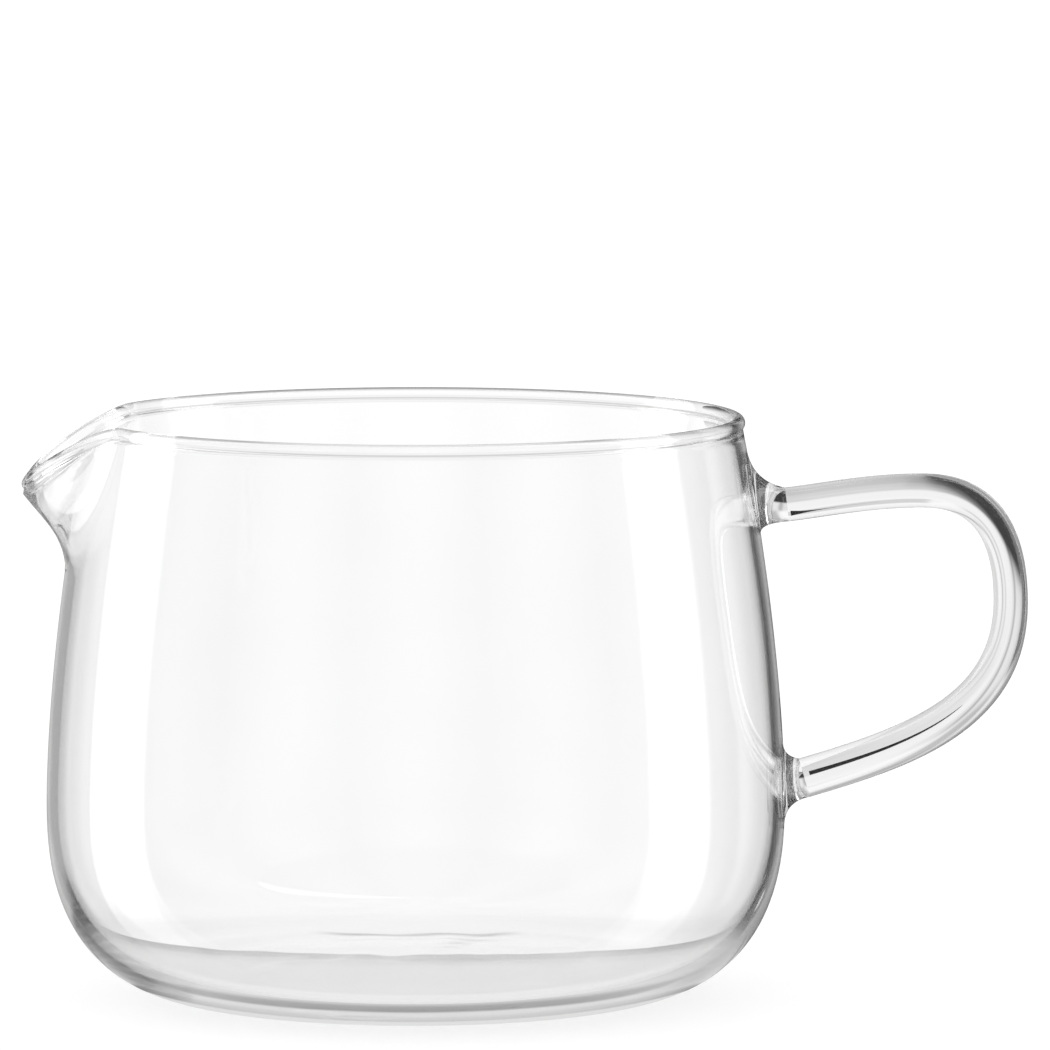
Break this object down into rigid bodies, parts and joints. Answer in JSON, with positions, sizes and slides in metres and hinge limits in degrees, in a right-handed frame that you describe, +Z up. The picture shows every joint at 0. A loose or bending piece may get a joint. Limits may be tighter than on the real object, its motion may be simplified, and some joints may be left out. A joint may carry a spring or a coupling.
{
  "type": "milk jug",
  "caption": "Clear glass milk jug with a rounded belly, a fire-polished rim pulled out into a pouring spout, and a bent glass rod handle welded on opposite the spout.",
  "frame": {"origin": "middle of the flat base, on the upright axis of the body", "axes": "+X towards the handle, the spout is on -X, +Z up"},
  "size_m": [0.136, 0.1, 0.079],
  "materials": {
    "body_glass": "clear, fire-polished",
    "rod_glass": "clear, drawn rod",
    "weld_glass": "clear, flame-worked"
  },
  "bodies": {
    "root": {"glass_body": "body_glass", "handle": "rod_glass", "upper_weld": "weld_glass", "lower_weld": "weld_glass"}
  },
  "joints": []
}
